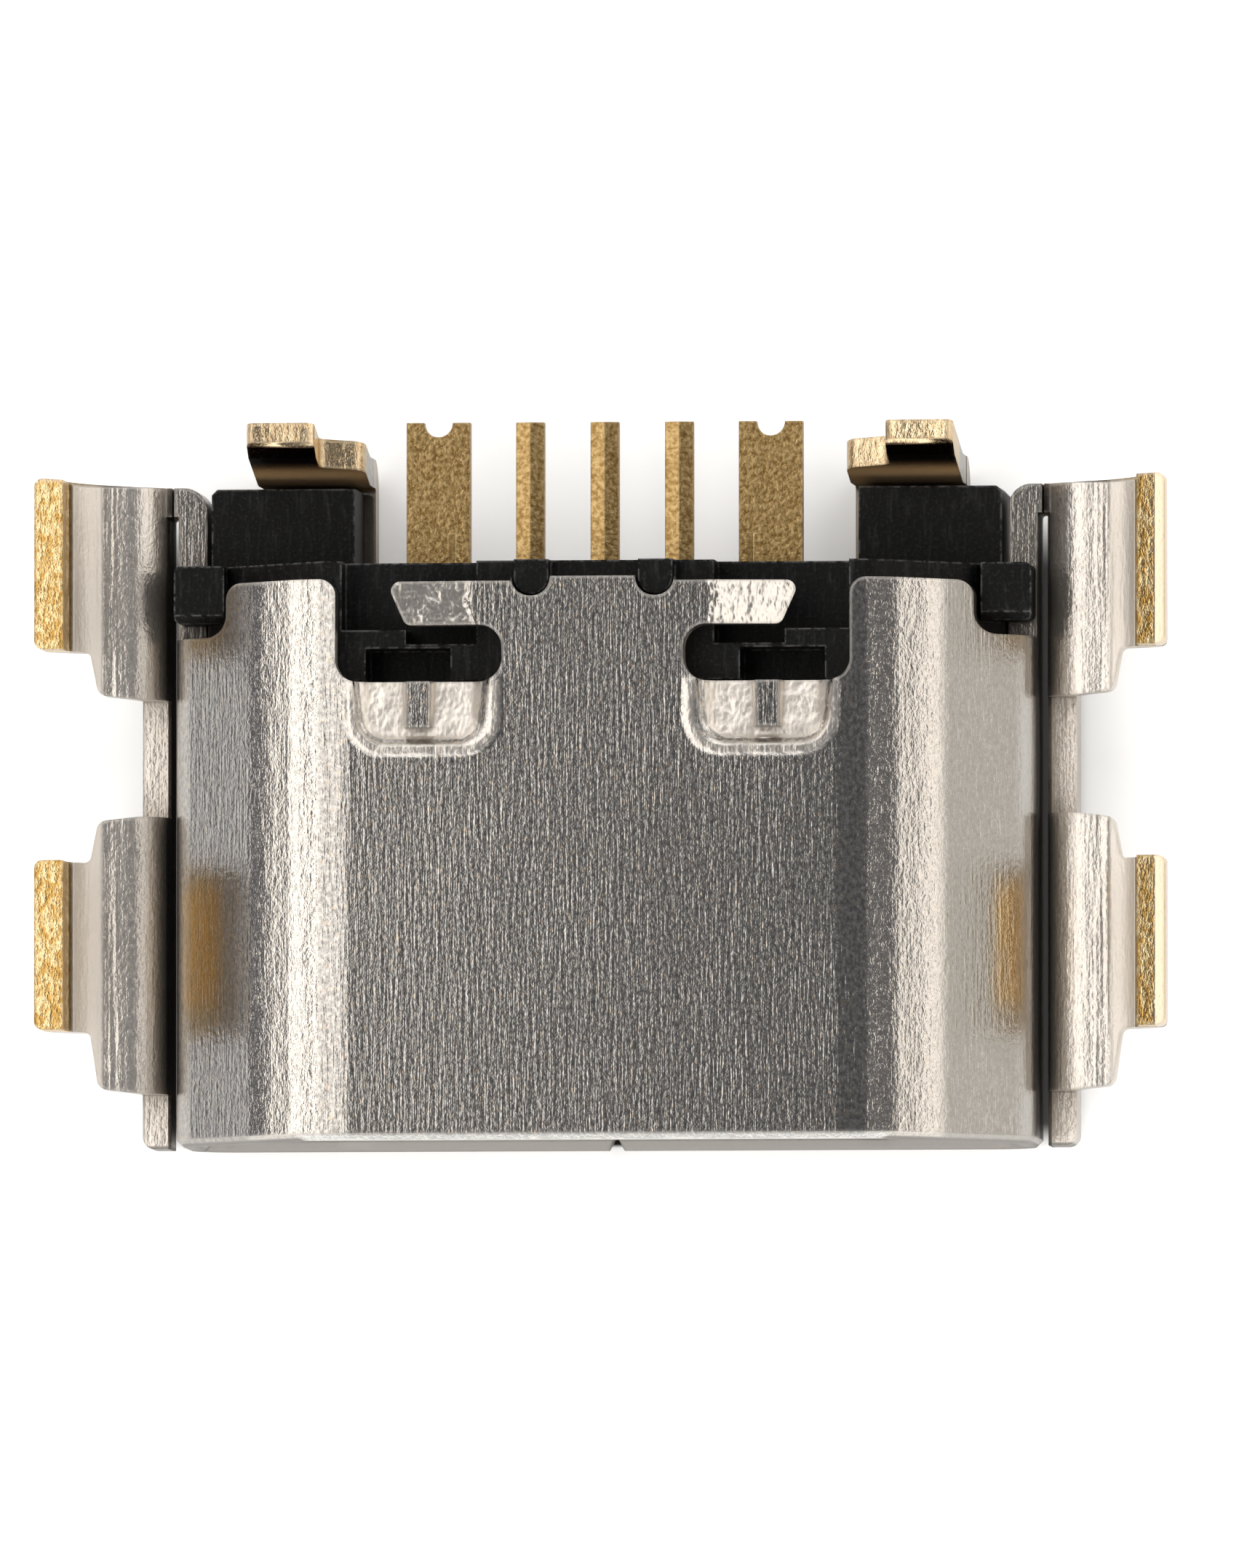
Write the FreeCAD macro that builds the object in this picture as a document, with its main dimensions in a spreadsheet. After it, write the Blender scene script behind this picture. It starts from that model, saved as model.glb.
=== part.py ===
import FreeCAD, Part
import math
import os
import Sketcher

# Micro usb socket for through-hole mounting. Millimetres and degrees.
# X runs across the mouth, "behind the mouth" is +Y and Z is up from the wide plate's underside.
# The outlines are drawn with Y counted from the mouth, and each piece's Placement then moves
# the middle of the plug tube's depth to the origin.
SIZES = [
    # Plug tube: one folded strip with a wide plate below and a narrow plate above.
    ("sheet_thickness", 0.25),
    ("tube_width", 7.5),
    ("tube_height", 2.4),
    ("tube_depth", 4.89),
    ("side_height", 1.3),
    ("narrow_width", 5.06),
    ("lower_bend", 0.42),
    ("upper_bend", 0.45),
    ("lip_outer", 0.06),
    ("lip_inner", 0.08),
    # Butt seam with a dovetail lock along the middle of the wide plate.
    ("seam_gap", 0.03),
    ("seam_flare", 0.12),
    ("lock_reach", 0.6),
    ("lock_neck", 0.7),
    ("lock_spread", 0.12),
    # Latch windows for the plug's hooks, in the wide plate.
    ("window_centre", 1.55),
    ("window_width", 0.9),
    ("window_front", 1.6),
    ("window_length", 1.15),
    ("window_corner", 0.08),
    # Rear edge of the narrow plate: centre tab, half-round notches, fingers, slots, shoulders.
    # Setbacks and depths are counted forward from the tube's rear end.
    ("tab_half", 0.37),
    ("notch_width", 0.34),
    ("notch_depth", 0.17),
    ("finger_setback", 0.04),
    ("finger_breadth", 0.38),
    ("finger_root", 1.05),
    ("finger_length", 0.76),
    ("finger_slant", 0.17),
    ("finger_corner", 0.08),
    ("finger_droop", 7),
    ("slot_breadth", 0.49),
    ("slot_inner", 0.79),
    ("slot_outer", 2.24),
    ("slot_corner", 0.19),
    ("slot_end_round", 0.2),
    ("shoulder_setback", 0.02),
    ("shoulder_round", 0.14),
    ("corner_cut_depth", 0.48),
    ("corner_cut_width", 0.49),
    ("corner_cut_round", 0.19),
    ("corner_cut_drop", 0.25),
    # Coined pockets in front of the slots, each with a rib.
    ("coin_centre", 1.5),
    ("coin_width", 1.28),
    ("coin_length", 0.65),
    ("coin_corner", 0.34),
    ("coin_depth", 0.16),
    ("coin_slope", 50),
    ("coin_tilt", 6),
    ("rib_centre", 1.52),
    ("rib_width", 0.2),
    ("rib_slant", 0.08),
    ("rib_length", 0.4),
    ("rib_drop", 0.02),
    # Side plates, folded back outside the tube through a hairpin bend at the rear.
    ("fold_gap", 0.08),
    ("fold_overhang", 0.86),
    ("fold_round", 0.27),
    ("fold_tab_round", 0.2),
    ("fold_tab_drop", 0.05),
    ("plate_round", 0.1),
    # Wings and board legs, bent out and up from the side plates.
    ("wing_height", 1.2),
    ("wing_bend", 0.1),
    ("wing_root", 0.03),
    ("wing_reach", 0.35),
    ("wing_flare", 0.07),
    ("wing_taper", 0.04),
    ("wing_sweep", 0.05),
    ("wing_round", 0.09),
    ("wing_fillet", 0.06),
    ("leg_span", 0.85),
    ("leg_bend", 0.35),
    ("leg_rise", 0.58),
    ("leg_round", 0.07),
    ("front_wing_front", 0.47),
    ("front_wing_length", 2.41),
    ("front_leg_inset", 0.53),
    ("front_leg_length", 1.475),
    ("rear_wing_length", 1.85),
    ("rear_leg_length", 1.44),
    # Rear legs: straps from the wide plate, bent up behind the housing's blocks.
    ("strap_inner", 2.1),
    ("strap_width", 0.98),
    ("strap_gap", 0.05),
    ("strap_straight", 0.75),
    ("strap_lean", 13),
    ("strap_tip", 0.165),
    ("strap_bevel", 0.2),
    ("strap_tip_width", 0.59),
    ("strap_tip_round", 0.06),
    ("strap_shoulder", 0.58),
    ("strap_slant", 0.1),
    ("strap_round", 0.15),
    # Housing: base wall, rear blocks, corner blocks, wells and tongue.
    ("fit_gap", 0.02),
    ("wall_stand", 0.15),
    ("wall_length", 1.04),
    ("block_inset", 0.1),
    ("block_gap", 0.05),
    ("block_length", 0.69),
    ("block_height", 0.85),
    ("block_bevel", 0.05),
    ("corner_gap", 0.04),
    ("corner_front_gap", 0.13),
    ("corner_block_rise", 0.45),
    ("corner_block_round", 0.06),
    ("corner_block_bevel", 0.07),
    ("bump_drop", 0.08),
    ("well_lip", 0.03),
    ("well_ridge", 0.035),
    ("well_step", 0.6),
    ("finger_well_depth", 0.6),
    ("slot_well_centre", 1.63),
    ("slot_well_width", 0.74),
    ("slot_well_length", 0.3),
    ("slot_well_depth", 0.65),
    ("tongue_width", 3.75),
    ("tongue_front", 0.9),
    ("tongue_bottom", 0.65),
    ("tongue_thickness", 0.6),
    ("tongue_nose", 0.1),
    # Contacts: strips through the wall, with tails behind it.
    ("contact_pitch", 0.65),
    ("contact_width", 0.245),
    ("contact_stand", 0.05),
    ("contact_thickness", 0.15),
    ("contact_ridge", 0.03),
    ("contact_inset", 0.2),
    ("tail_length", 1.25),
    ("wide_tail_centre", 1.45),
    ("wide_tail_width", 0.555),
    ("tail_notch", 0.125),
]

# How far a cutting outline runs past the metal that it trims.
CLEAR = "0.3"
CONTACT_COUNT = 5

# The places that several features share, worked out from the sizes.
WALL_INNER = "(Sizes.tube_width / 2 - Sizes.sheet_thickness)"
PLATE_INNER = "(Sizes.tube_width / 2 + Sizes.fold_gap)"
PLATE_OUTER = f"({PLATE_INNER} + Sizes.sheet_thickness)"
LEG_OUTER = f"({PLATE_OUTER} + Sizes.leg_span)"
LEG_TOP = "(Sizes.wing_height + Sizes.leg_rise)"
FOLD_REAR = "(Sizes.tube_depth + Sizes.fold_overhang)"
FINGER_REAR = "(Sizes.tube_depth - Sizes.finger_setback)"
SLOT_REAR = f"({FINGER_REAR} - Sizes.finger_breadth)"
SLOT_FRONT = f"({SLOT_REAR} - Sizes.slot_breadth)"
SHOULDER_OUTER = "(Sizes.tube_width / 2 - Sizes.corner_cut_width)"
CORNER_CUT_FRONT = "(Sizes.tube_depth - Sizes.corner_cut_depth)"
CORNER_CUT_FLOOR = "(Sizes.side_height - Sizes.corner_cut_drop)"
WALL_REAR = "(Sizes.tube_depth + Sizes.wall_stand)"
WALL_FRONT = f"({WALL_REAR} - Sizes.wall_length)"
BLOCK_REAR = f"({WALL_REAR} + Sizes.block_length)"
STRAP_OUTER = "(Sizes.strap_inner + Sizes.strap_width)"
CONTACT_TOP = "(Sizes.tongue_bottom + Sizes.tongue_thickness + Sizes.contact_stand)"
CONTACT_BOTTOM = f"({CONTACT_TOP} - Sizes.contact_thickness)"
CONTACT_FRONT = "(Sizes.tongue_front + Sizes.contact_inset)"
TAIL_END = f"({WALL_REAR} + Sizes.tail_length)"

doc = FreeCAD.newDocument("micro_usb_socket")
sheet = doc.addObject("Spreadsheet::Sheet", "Sizes")


def fill_sheet():
    for row, (name, size) in enumerate(SIZES, start=1):
        sheet.set(f"A{row}", name)
        sheet.set(f"B{row}", str(size))
        sheet.setAlias(f"B{row}", name)
    doc.recompute()


def value(expression):
    """The number that an expression on the sheet gives."""
    return float(sheet.evalExpression(expression))


def new_body(name):
    body = doc.addObject("PartDesign::Body", name)
    body.Label = name
    body.setExpression("Placement.Base.y", "-Sizes.tube_depth / 2")
    return body


def new_sketch(body, name, role, offset="0"):
    """A sketch parallel to one of the body's own planes, offset along that plane's normal.

    The plane's normals are +Z for XY_Plane, -Y for XZ_Plane and +X for YZ_Plane."""
    sketch = body.newObject("Sketcher::SketchObject", name)
    support = [feature for feature in body.Origin.OriginFeatures if feature.Role == role]
    sketch.AttachmentSupport = [(support[0], "")]
    sketch.MapMode = "FlatFace"
    sketch.setExpression("AttachmentOffset.Base.z", offset)
    return sketch


def bind(sketch, constraint, expression):
    number = sketch.addConstraint(constraint)
    sketch.setExpression(f"Constraints[{number}]", expression)


def corner_points(points, radii):
    """Where each corner's arc starts and ends, and its centre."""
    corners = []
    for index, point in enumerate(points):
        back = (points[index - 1] - point).normalize()
        ahead = (points[(index + 1) % len(points)] - point).normalize()
        half = back.getAngle(ahead) / 2
        reach = radii[index] / math.tan(half)
        start = point + back * reach
        end = point + ahead * reach
        centre = point
        if radii[index] > 0:
            centre = point + (back + ahead).normalize() * (radii[index] / math.sin(half))
        turns_left = (point - points[index - 1]).cross(points[(index + 1) % len(points)] - point).z > 0
        corners.append((start, end, centre, turns_left))
    return corners


def add_corner_arc(sketch, line_in, line_out, point, corner, radius, radius_text):
    """A tangent arc between two lines, and the construction point at their crossing."""
    start, end, centre, turns_left = corner
    first, last = (start, end) if turns_left else (end, start)
    first_angle = math.atan2(first.y - centre.y, first.x - centre.x)
    last_angle = math.atan2(last.y - centre.y, last.x - centre.x)
    circle = Part.Circle(centre, FreeCAD.Vector(0, 0, 1), radius)
    arc = sketch.addGeometry(Part.ArcOfCircle(circle, first_angle, last_angle), False)
    crossing = sketch.addGeometry(Part.Point(point), True)
    arc_in, arc_out = (1, 2) if turns_left else (2, 1)
    sketch.addConstraint(Sketcher.Constraint("Tangent", line_in, 2, arc, arc_in))
    sketch.addConstraint(Sketcher.Constraint("Tangent", arc, arc_out, line_out, 1))
    sketch.addConstraint(Sketcher.Constraint("PointOnObject", crossing, 1, line_in))
    sketch.addConstraint(Sketcher.Constraint("PointOnObject", crossing, 1, line_out))
    bind(sketch, Sketcher.Constraint("Radius", arc, radius), radius_text)
    return crossing


def draw_outline(sketch, corners):
    """A closed outline through corners (across, along, radius), each an expression on the sheet."""
    points = [FreeCAD.Vector(value(corner[0]), value(corner[1]), 0) for corner in corners]
    radii = [value(corner[2]) if len(corner) > 2 else 0 for corner in corners]
    rounded = corner_points(points, radii)
    lines = []
    for index in range(len(points)):
        start = rounded[index][1]
        end = rounded[(index + 1) % len(points)][0]
        lines.append(sketch.addGeometry(Part.LineSegment(start, end), False))
    for index, corner in enumerate(corners):
        line_in = lines[index - 1]
        line_out = lines[index]
        if radii[index] > 0:
            anchor = add_corner_arc(sketch, line_in, line_out, points[index], rounded[index],
                                    radii[index], corner[2])
        else:
            sketch.addConstraint(Sketcher.Constraint("Coincident", line_in, 2, line_out, 1))
            anchor = line_out
        bind(sketch, Sketcher.Constraint("DistanceX", -1, 1, anchor, 1, points[index].x), corner[0])
        bind(sketch, Sketcher.Constraint("DistanceY", -1, 1, anchor, 1, points[index].y), corner[1])


def box_corners(left, right, front, rear, radius="0"):
    return [(left, front, radius), (right, front, radius), (right, rear, radius), (left, rear, radius)]


def mirrored(corners):
    """The same outline on the other side of the middle plane."""
    return [(f"-({corner[0]})",) + tuple(corner[1:]) for corner in reversed(corners)]


def extrude(body, kind, name, sketch, length, reverse=False, slope=None):
    """A Pad along the sketch's normal or a Pocket against it; reverse turns either round."""
    feature = body.newObject(f"PartDesign::{kind}", name)
    feature.Profile = sketch
    feature.Reversed = reverse
    feature.setExpression("Length", length)
    if slope:
        feature.setExpression("TaperAngle", slope)
    doc.recompute()
    return feature


def chamfer(body, name, base, edges, width):
    feature = body.newObject("PartDesign::Chamfer", name)
    feature.Base = (base, [f"Edge{number}" for number in edges])
    feature.setExpression("Size", width)
    doc.recompute()
    return feature


def mirror(body, name, features):
    """Repeat the features on the other side of the middle plane."""
    feature = body.newObject("PartDesign::Mirrored", name)
    feature.Originals = features
    support = [plane for plane in body.Origin.OriginFeatures if plane.Role == "YZ_Plane"]
    feature.MirrorPlane = (support[0], [""])
    body.Tip = feature
    doc.recompute()
    return feature


def edges_of_wire(shape, wire):
    """Numbers of the shape's edges that lie on the wire."""
    return [number for number, edge in enumerate(shape.Edges, start=1)
            if any(edge.isSame(member) for member in wire.Edges)]


# The angle between the slanting side and the narrow plate, and how far its bends' corners
# move along the plates when the outline is inset.
SLOPE = ("atan((Sizes.tube_height - Sizes.side_height)"
         " / ((Sizes.tube_width - Sizes.narrow_width) / 2))")


def tube_corners(inset, bottom):
    """The tube's section, inset from its outer face; the bottom edge has its own height."""
    side = f"(Sizes.tube_width / 2 - {inset})"
    side_top = f"(Sizes.side_height - {inset} * tan((90 deg - {SLOPE}) / 2))"
    top = f"(Sizes.tube_height - {inset})"
    top_half = f"(Sizes.narrow_width / 2 - {inset} * tan({SLOPE} / 2))"
    lower = f"Sizes.lower_bend - {inset}"
    upper = f"Sizes.upper_bend - {inset}"
    right = [(side, bottom, lower), (side, side_top, upper), (top_half, top, upper)]
    return right + mirrored(right)


def shell_tube(body):
    """The plug tube: a padded section, hollowed to the strip, with broken edges at the mouth."""
    sketch = new_sketch(body, "TubeSection", "XZ_Plane")
    draw_outline(sketch, tube_corners("0", "0"))
    tube = extrude(body, "Pad", "Tube", sketch, "Sizes.tube_depth", reverse=True)
    ends = [f"Face{number}" for number, face in enumerate(tube.Shape.Faces, start=1)
            if abs(face.normalAt(0, 0).y) > 0.9]
    walls = body.newObject("PartDesign::Thickness", "TubeWalls")
    walls.Base = (tube, ends)
    walls.setExpression("Value", "Sizes.sheet_thickness")
    walls.Reversed = True
    doc.recompute()
    mouth = min(walls.Shape.Faces, key=lambda face: face.CenterOfMass.y)
    outer = edges_of_wire(walls.Shape, mouth.OuterWire)
    outer_lip = chamfer(body, "OuterLip", walls, outer, "Sizes.lip_outer")
    mouth = min(outer_lip.Shape.Faces, key=lambda face: face.CenterOfMass.y)
    hollow = [wire for wire in mouth.Wires if not wire.isSame(mouth.OuterWire)]
    inner = edges_of_wire(outer_lip.Shape, hollow[0])
    return chamfer(body, "InnerLip", outer_lip, inner, "Sizes.lip_inner")


# The side plate's top edge lies just below the start of the wings' bend.
PLATE_TOP = "(Sizes.wing_height - Sizes.sheet_thickness - Sizes.wing_bend - Sizes.wing_root)"


def side_plates(body):
    """The strip past the tube's side, turned back outside it through a hairpin bend."""
    wall_outer = "Sizes.tube_width / 2"
    inner_bend = "Sizes.fold_gap * 0.4"
    gap_rear = f"{FOLD_REAR} - Sizes.sheet_thickness"
    hairpin = [
        (WALL_INNER, CORNER_CUT_FRONT),
        (WALL_INNER, FOLD_REAR, "Sizes.fold_round"),
        (PLATE_OUTER, FOLD_REAR, "Sizes.fold_round"),
        (PLATE_OUTER, "0", "Sizes.plate_round"),
        (PLATE_INNER, "0"),
        (PLATE_INNER, gap_rear, inner_bend),
        (wall_outer, gap_rear, inner_bend),
        (wall_outer, CORNER_CUT_FRONT),
    ]
    sketch = new_sketch(body, "HairpinPlan", "XY_Plane", "Sizes.lower_bend")
    draw_outline(sketch, hairpin)
    plate = extrude(body, "Pad", "SidePlate", sketch, f"{PLATE_TOP} - Sizes.lower_bend")
    rear_tab = [
        (WALL_INNER, CORNER_CUT_FRONT),
        (WALL_INNER, FOLD_REAR, "Sizes.fold_tab_round"),
        (f"{PLATE_INNER} + Sizes.wing_root", FOLD_REAR),
        (f"{PLATE_INNER} + Sizes.wing_root", gap_rear),
        (wall_outer, gap_rear),
        (wall_outer, CORNER_CUT_FRONT),
    ]
    sketch = new_sketch(body, "RearTabPlan", "XY_Plane", "Sizes.lower_bend")
    draw_outline(sketch, rear_tab)
    tab_height = f"{CORNER_CUT_FLOOR} - Sizes.fold_tab_drop - Sizes.lower_bend"
    tab = extrude(body, "Pad", "RearTab", sketch, tab_height)
    return [plate, tab]


def wing_outline(front, leg_front, leg_rear, rear, sweep="0"):
    """One wing with its leg from above; sweep carries the rear edge back at the leg."""
    inner = "Sizes.tube_width / 2 + Sizes.fold_gap * 0.75"
    reach = f"{PLATE_OUTER} + Sizes.wing_reach"
    neck = f"{reach} + Sizes.wing_flare"
    outline = [
        (inner, front),
        (PLATE_OUTER, front),
        (reach, f"{front} + Sizes.wing_taper", "Sizes.wing_round"),
        (neck, leg_front, "Sizes.wing_fillet"),
        (LEG_OUTER, leg_front, "Sizes.leg_round"),
    ]
    if sweep == "0":
        outline += [
            (LEG_OUTER, leg_rear, "Sizes.leg_round"),
            (neck, leg_rear, "Sizes.wing_fillet"),
            (reach, f"{rear} - Sizes.wing_taper", "Sizes.wing_round"),
            (PLATE_OUTER, rear),
        ]
    else:
        outline += [(LEG_OUTER, f"{rear} + {sweep}", "Sizes.leg_round"), (PLATE_OUTER, rear)]
    return outline + [(inner, rear)]


def wings(body):
    """The section of plate, wing and leg, padded along the side and cut to the two wings' outlines."""
    leg_inner = f"{LEG_OUTER} - Sizes.sheet_thickness"
    wing_under = "Sizes.wing_height - Sizes.sheet_thickness"
    outer_of = "{} + Sizes.sheet_thickness"
    section = [
        (PLATE_INNER, PLATE_TOP),
        (PLATE_INNER, "Sizes.wing_height", outer_of.format("Sizes.wing_bend")),
        (leg_inner, "Sizes.wing_height", "Sizes.leg_bend"),
        (leg_inner, LEG_TOP),
        (LEG_OUTER, LEG_TOP),
        (LEG_OUTER, wing_under, outer_of.format("Sizes.leg_bend")),
        (PLATE_OUTER, wing_under, "Sizes.wing_bend"),
        (PLATE_OUTER, PLATE_TOP),
    ]
    sketch = new_sketch(body, "WingSection", "XZ_Plane")
    draw_outline(sketch, section)
    strip = extrude(body, "Pad", "WingStrip", sketch, f"{FOLD_REAR} + Sizes.wing_sweep", reverse=True)
    front = "Sizes.front_wing_front"
    front_leg = f"({front} + Sizes.front_leg_inset)"
    rear_leg_front = f"({FOLD_REAR} - Sizes.rear_leg_length)"
    sketch = new_sketch(body, "WingPlan", "XY_Plane", LEG_TOP)
    draw_outline(sketch, box_corners("Sizes.tube_width / 2 + Sizes.fold_gap / 2", f"{LEG_OUTER} + {CLEAR}",
                                     f"-{CLEAR}", f"{FOLD_REAR} + Sizes.wing_sweep + {CLEAR}"))
    draw_outline(sketch, wing_outline(front, front_leg, f"({front_leg} + Sizes.front_leg_length)",
                                      f"({front} + Sizes.front_wing_length)"))
    draw_outline(sketch, wing_outline(f"({FOLD_REAR} - Sizes.rear_wing_length)", rear_leg_front, FOLD_REAR,
                                      FOLD_REAR, "Sizes.wing_sweep"))
    gaps = extrude(body, "Pocket", "WingCut", sketch, f"{LEG_TOP} - {PLATE_TOP}")
    return [strip, gaps]


def rear_leg(body):
    """A strap of the wide plate, bent up behind the block and leaning back to its top."""
    front_face = f"({BLOCK_REAR} + Sizes.strap_gap)"
    rear_face = f"({front_face} + Sizes.sheet_thickness)"
    lean = f"({LEG_TOP} - Sizes.strap_straight) * tan(Sizes.strap_lean)"
    bevel_lean = f"({LEG_TOP} - Sizes.strap_bevel - Sizes.strap_straight) * tan(Sizes.strap_lean)"
    joint = "Sizes.tube_depth - Sizes.sheet_thickness"
    profile = [
        (joint, "0"),
        (rear_face, "0", "Sizes.strap_gap + Sizes.sheet_thickness"),
        (rear_face, "Sizes.strap_straight", "2 * Sizes.sheet_thickness"),
        (f"{rear_face} + {lean}", LEG_TOP),
        (f"{rear_face} + {lean} - Sizes.strap_tip", LEG_TOP),
        (f"{front_face} + {bevel_lean}", f"{LEG_TOP} - Sizes.strap_bevel"),
        (front_face, "Sizes.strap_straight", "Sizes.sheet_thickness"),
        (front_face, "Sizes.sheet_thickness", "Sizes.strap_gap"),
        (joint, "Sizes.sheet_thickness"),
    ]
    sketch = new_sketch(body, "StrapProfile", "YZ_Plane", "Sizes.strap_inner")
    draw_outline(sketch, profile)
    strap = extrude(body, "Pad", "Strap", sketch, "Sizes.strap_width")
    above = f"{LEG_TOP} + {CLEAR}"
    tip_inner = f"{STRAP_OUTER} - Sizes.strap_tip_width"
    tip_middle = f"{STRAP_OUTER} - Sizes.strap_tip_width / 2"
    shoulder = f"{LEG_TOP} - Sizes.strap_shoulder"
    inner_side = [
        (f"Sizes.strap_inner - {CLEAR}", f"{shoulder} - Sizes.strap_round"),
        ("Sizes.strap_inner", f"{shoulder} - Sizes.strap_round"),
        ("Sizes.strap_inner", shoulder, "Sizes.strap_round * 0.9"),
        (tip_inner, f"{shoulder} + Sizes.strap_slant", "Sizes.wing_fillet"),
        (tip_inner, LEG_TOP, "Sizes.strap_tip_round"),
        (tip_middle, LEG_TOP),
        (tip_middle, above),
        (f"Sizes.strap_inner - {CLEAR}", above),
    ]
    outer_side = [
        (f"{STRAP_OUTER} + {CLEAR}", shoulder),
        (f"{STRAP_OUTER} + {CLEAR}", above),
        (f"{tip_middle} + Sizes.wing_root", above),
        (f"{tip_middle} + Sizes.wing_root", LEG_TOP),
        (STRAP_OUTER, LEG_TOP, "Sizes.strap_tip_round"),
        (STRAP_OUTER, shoulder),
    ]
    sketch = new_sketch(body, "StrapOutline", "XZ_Plane", f"-{BLOCK_REAR}")
    draw_outline(sketch, inner_side)
    draw_outline(sketch, outer_side)
    cut = extrude(body, "Pocket", "StrapCut", sketch, f"{LEG_TOP} + {CLEAR}")
    return [strap, cut]


def narrow_plate_rear(body):
    """The stamped rear edge of the narrow plate, with its notch, slot, shoulder and corner cut."""
    back = f"Sizes.tube_depth + {CLEAR}"
    notch_outer = "Sizes.tab_half + Sizes.notch_width"
    notch_bottom = "Sizes.tube_depth - Sizes.notch_depth"
    notch_round = "Sizes.notch_width * 0.48"
    shoulder_rear = "Sizes.tube_depth - Sizes.shoulder_setback"
    outside = "Sizes.tube_width / 2 + Sizes.fold_gap / 2"
    removed = [
        ("Sizes.tab_half", back),
        ("Sizes.tab_half", notch_bottom, notch_round),
        (notch_outer, notch_bottom, notch_round),
        (notch_outer, FINGER_REAR),
        ("Sizes.finger_root", FINGER_REAR),
        ("Sizes.finger_root", SLOT_REAR),
        ("Sizes.slot_inner", SLOT_REAR, "Sizes.slot_end_round"),
        ("Sizes.slot_inner", SLOT_FRONT, "Sizes.slot_end_round"),
        ("Sizes.slot_outer", SLOT_FRONT, "Sizes.slot_corner"),
        ("Sizes.slot_outer", shoulder_rear, "Sizes.shoulder_round"),
        (SHOULDER_OUTER, shoulder_rear, "Sizes.shoulder_round"),
        (SHOULDER_OUTER, CORNER_CUT_FRONT, "Sizes.corner_cut_round"),
        (outside, CORNER_CUT_FRONT),
        (outside, back),
    ]
    sketch = new_sketch(body, "RearEdge", "XY_Plane", f"Sizes.tube_height + {CLEAR}")
    draw_outline(sketch, removed)
    depth = f"Sizes.tube_height + {CLEAR} - {CORNER_CUT_FLOOR}"
    return [extrude(body, "Pocket", "RearEdgeCut", sketch, depth)]


def finger(body):
    """The tongue beside the slot, bent down a little from its root."""
    overlap = "Sizes.sheet_thickness * 0.1"
    sketch = new_sketch(body, "FingerPlan", "XY_Plane")
    turn = FreeCAD.Rotation(FreeCAD.Vector(0, 1, 0), 0)
    sketch.AttachmentOffset = FreeCAD.Placement(FreeCAD.Vector(0, 0, 0), turn)
    sketch.setExpression("AttachmentOffset.Base.x", f"Sizes.finger_root - {overlap}")
    sketch.setExpression("AttachmentOffset.Base.z", "Sizes.tube_height")
    sketch.setExpression("AttachmentOffset.Rotation.Angle", "Sizes.finger_droop")
    end = f"Sizes.finger_length + {overlap}"
    plan = [
        ("0", SLOT_REAR),
        (f"{end} - Sizes.finger_slant", SLOT_REAR, "Sizes.finger_corner"),
        (end, FINGER_REAR, "Sizes.finger_corner"),
        ("0", FINGER_REAR),
    ]
    draw_outline(sketch, plan)
    return [extrude(body, "Pad", "Finger", sketch, "Sizes.sheet_thickness", reverse=True)]


def coined_pocket(body):
    """A coined pocket that deepens towards the slot it opens into, with a rib standing in it.

    Its sketch leans on the plate's top inside the slot and stands clear of it everywhere else."""
    inner = "Sizes.coin_centre - Sizes.coin_width / 2"
    outer = "Sizes.coin_centre + Sizes.coin_width / 2"
    coin_front = "-(Sizes.coin_length + Sizes.slot_breadth / 2)"
    hollow = [
        (inner, "0"),
        (inner, coin_front, "Sizes.coin_corner"),
        (outer, coin_front, "Sizes.coin_corner"),
        (outer, "0"),
    ]
    sketch = new_sketch(body, "CoinPlan", "XY_Plane")
    tilt = FreeCAD.Rotation(FreeCAD.Vector(-1, 0, 0), value("Sizes.coin_tilt"))
    sketch.AttachmentOffset = FreeCAD.Placement(FreeCAD.Vector(0, 0, 0), tilt)
    sketch.setExpression("AttachmentOffset.Base.y", f"{SLOT_FRONT} + Sizes.slot_breadth / 2")
    sketch.setExpression("AttachmentOffset.Base.z", "Sizes.tube_height")
    sketch.setExpression("AttachmentOffset.Rotation.Angle", "Sizes.coin_tilt")
    draw_outline(sketch, hollow)
    coin = extrude(body, "Pocket", "Coin", sketch, "Sizes.coin_depth", slope="-Sizes.coin_slope")
    rib_top = "Sizes.tube_height - Sizes.rib_drop"
    rib_foot = "Sizes.tube_height - Sizes.sheet_thickness"
    foot_half = "(Sizes.rib_width / 2 + Sizes.rib_slant)"
    rib_section = [
        (f"Sizes.rib_centre - {foot_half}", rib_foot),
        ("Sizes.rib_centre - Sizes.rib_width / 2", rib_top),
        ("Sizes.rib_centre + Sizes.rib_width / 2", rib_top),
        (f"Sizes.rib_centre + {foot_half}", rib_foot),
    ]
    sketch = new_sketch(body, "RibSection", "XZ_Plane", f"-{SLOT_FRONT}")
    draw_outline(sketch, rib_section)
    rib = extrude(body, "Pad", "Rib", sketch, "Sizes.rib_length")
    return [coin, rib]


def latch_window(body):
    sketch = new_sketch(body, "WindowPlan", "XY_Plane")
    draw_outline(sketch, box_corners("Sizes.window_centre - Sizes.window_width / 2",
                                     "Sizes.window_centre + Sizes.window_width / 2",
                                     "Sizes.window_front", "Sizes.window_front + Sizes.window_length",
                                     "Sizes.window_corner"))
    return [extrude(body, "Pocket", "Window", sketch, "2 * Sizes.sheet_thickness", reverse=True)]


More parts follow.
